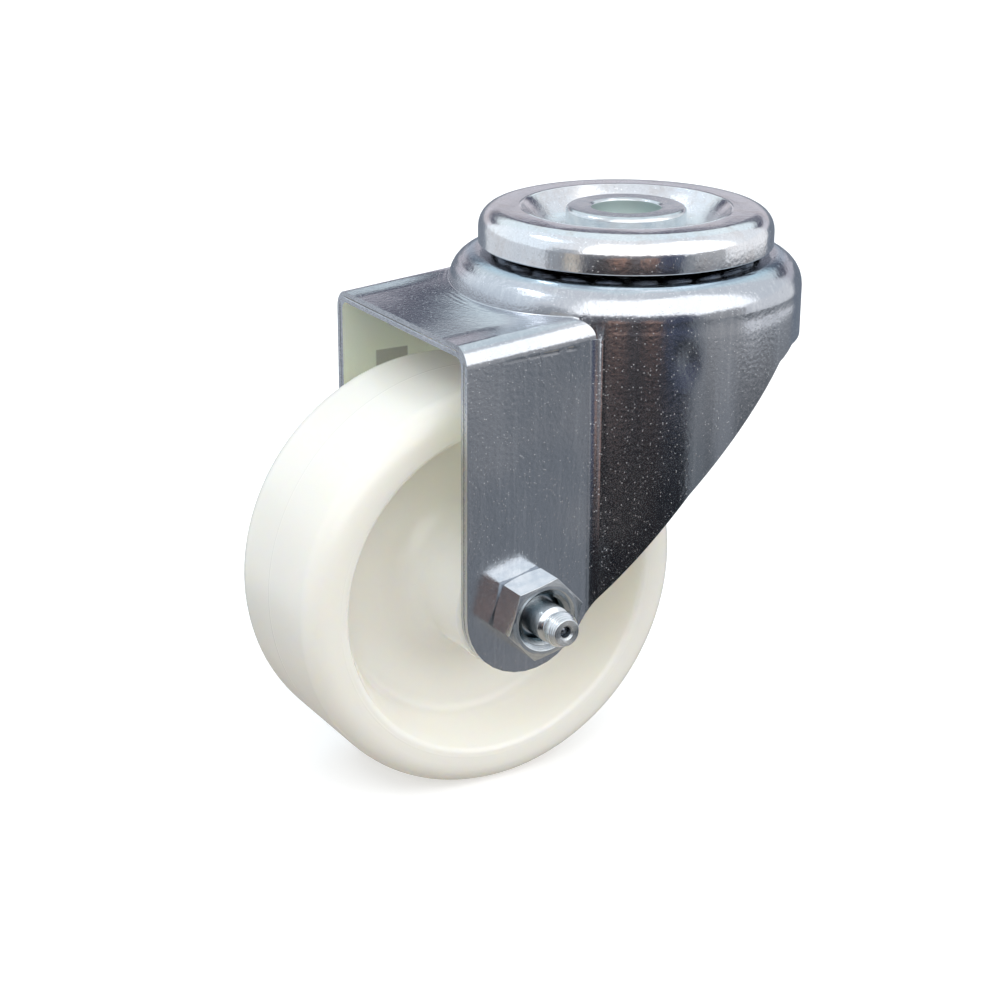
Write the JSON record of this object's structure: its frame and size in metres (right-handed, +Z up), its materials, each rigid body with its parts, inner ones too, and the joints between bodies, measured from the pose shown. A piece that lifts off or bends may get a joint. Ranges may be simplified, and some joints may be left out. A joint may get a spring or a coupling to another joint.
{
  "type": "bolt hole castor",
  "caption": "Swivel castor with a central bolt hole, a double ball race head, a pressed steel fork and a recessed nylon wheel on a greased axle.",
  "frame": {"origin": "middle of the bolt hole, on the bush's top face, which meets the furniture", "axes": "+Z up along the swivel axis and out of the bolt hole; the wheel trails toward -X; the axle lies along Y with its nut and grease nipple on the -Y side"},
  "size_m": [0.1113, 0.0737, 0.107],
  "materials": {
    "zinc_plated_sheet": "bright zinc plate with a fine grain",
    "zinc_plated_turned": "bright zinc plate, turned",
    "bearing_steel": "polished",
    "natural_nylon": "milky, slightly translucent gloss",
    "cage_plastic": "moulded"
  },
  "bodies": {
    "swivel_head": {"top_cap": "zinc_plated_sheet", "kingpin_bush": "zinc_plated_turned", "lower_race": "zinc_plated_sheet"},
    "upper_ball_ring": {"upper_balls": "bearing_steel"},
    "lower_ball_ring": {"lower_balls": "bearing_steel"},
    "fork": {"swivel_fork": "zinc_plated_sheet", "axle_sleeve": "zinc_plated_turned", "near_thrust_washer": "zinc_plated_turned", "far_thrust_washer": "zinc_plated_turned", "axle_bolt": "zinc_plated_turned", "axle_nut": "zinc_plated_turned", "nipple_body": "zinc_plated_turned", "nipple_ball": "bearing_steel", "nipple_spring": "bearing_steel"},
    "roller_set": {"roller_cage": "cage_plastic", "bearing_rollers": "bearing_steel"},
    "road_wheel": {"wheel": "natural_nylon", "near_retainer": "zinc_plated_turned", "far_retainer": "zinc_plated_turned"}
  },
  "joints": [
    {"name": "swivel", "type": "hinge", "parent": "swivel_head", "child": "fork", "pos_m": [0, 0, 0], "axis": [0, 0, 1], "continuous": true},
    {"name": "upper_balls_roll", "type": "hinge", "parent": "swivel_head", "child": "upper_ball_ring", "pos_m": [0, 0, 0], "axis": [0, 0, 1], "continuous": true},
    {"name": "lower_balls_roll", "type": "hinge", "parent": "swivel_head", "child": "lower_ball_ring", "pos_m": [0, 0, 0], "axis": [0, 0, 1], "continuous": true},
    {"name": "wheel_spin", "type": "hinge", "parent": "fork", "child": "road_wheel", "pos_m": [-0.037, 0, -0.067], "axis": [0, 1, 0], "continuous": true},
    {"name": "rollers_roll", "type": "hinge", "parent": "fork", "child": "roller_set", "pos_m": [-0.037, 0, -0.067], "axis": [0, 1, 0], "continuous": true}
  ],
  "couplings": [
    {"joint": "upper_balls_roll", "follows": "swivel", "ratio": 0.5},
    {"joint": "lower_balls_roll", "follows": "swivel", "ratio": 0.5},
    {"joint": "rollers_roll", "follows": "wheel_spin", "ratio": 0.6026}
  ]
}
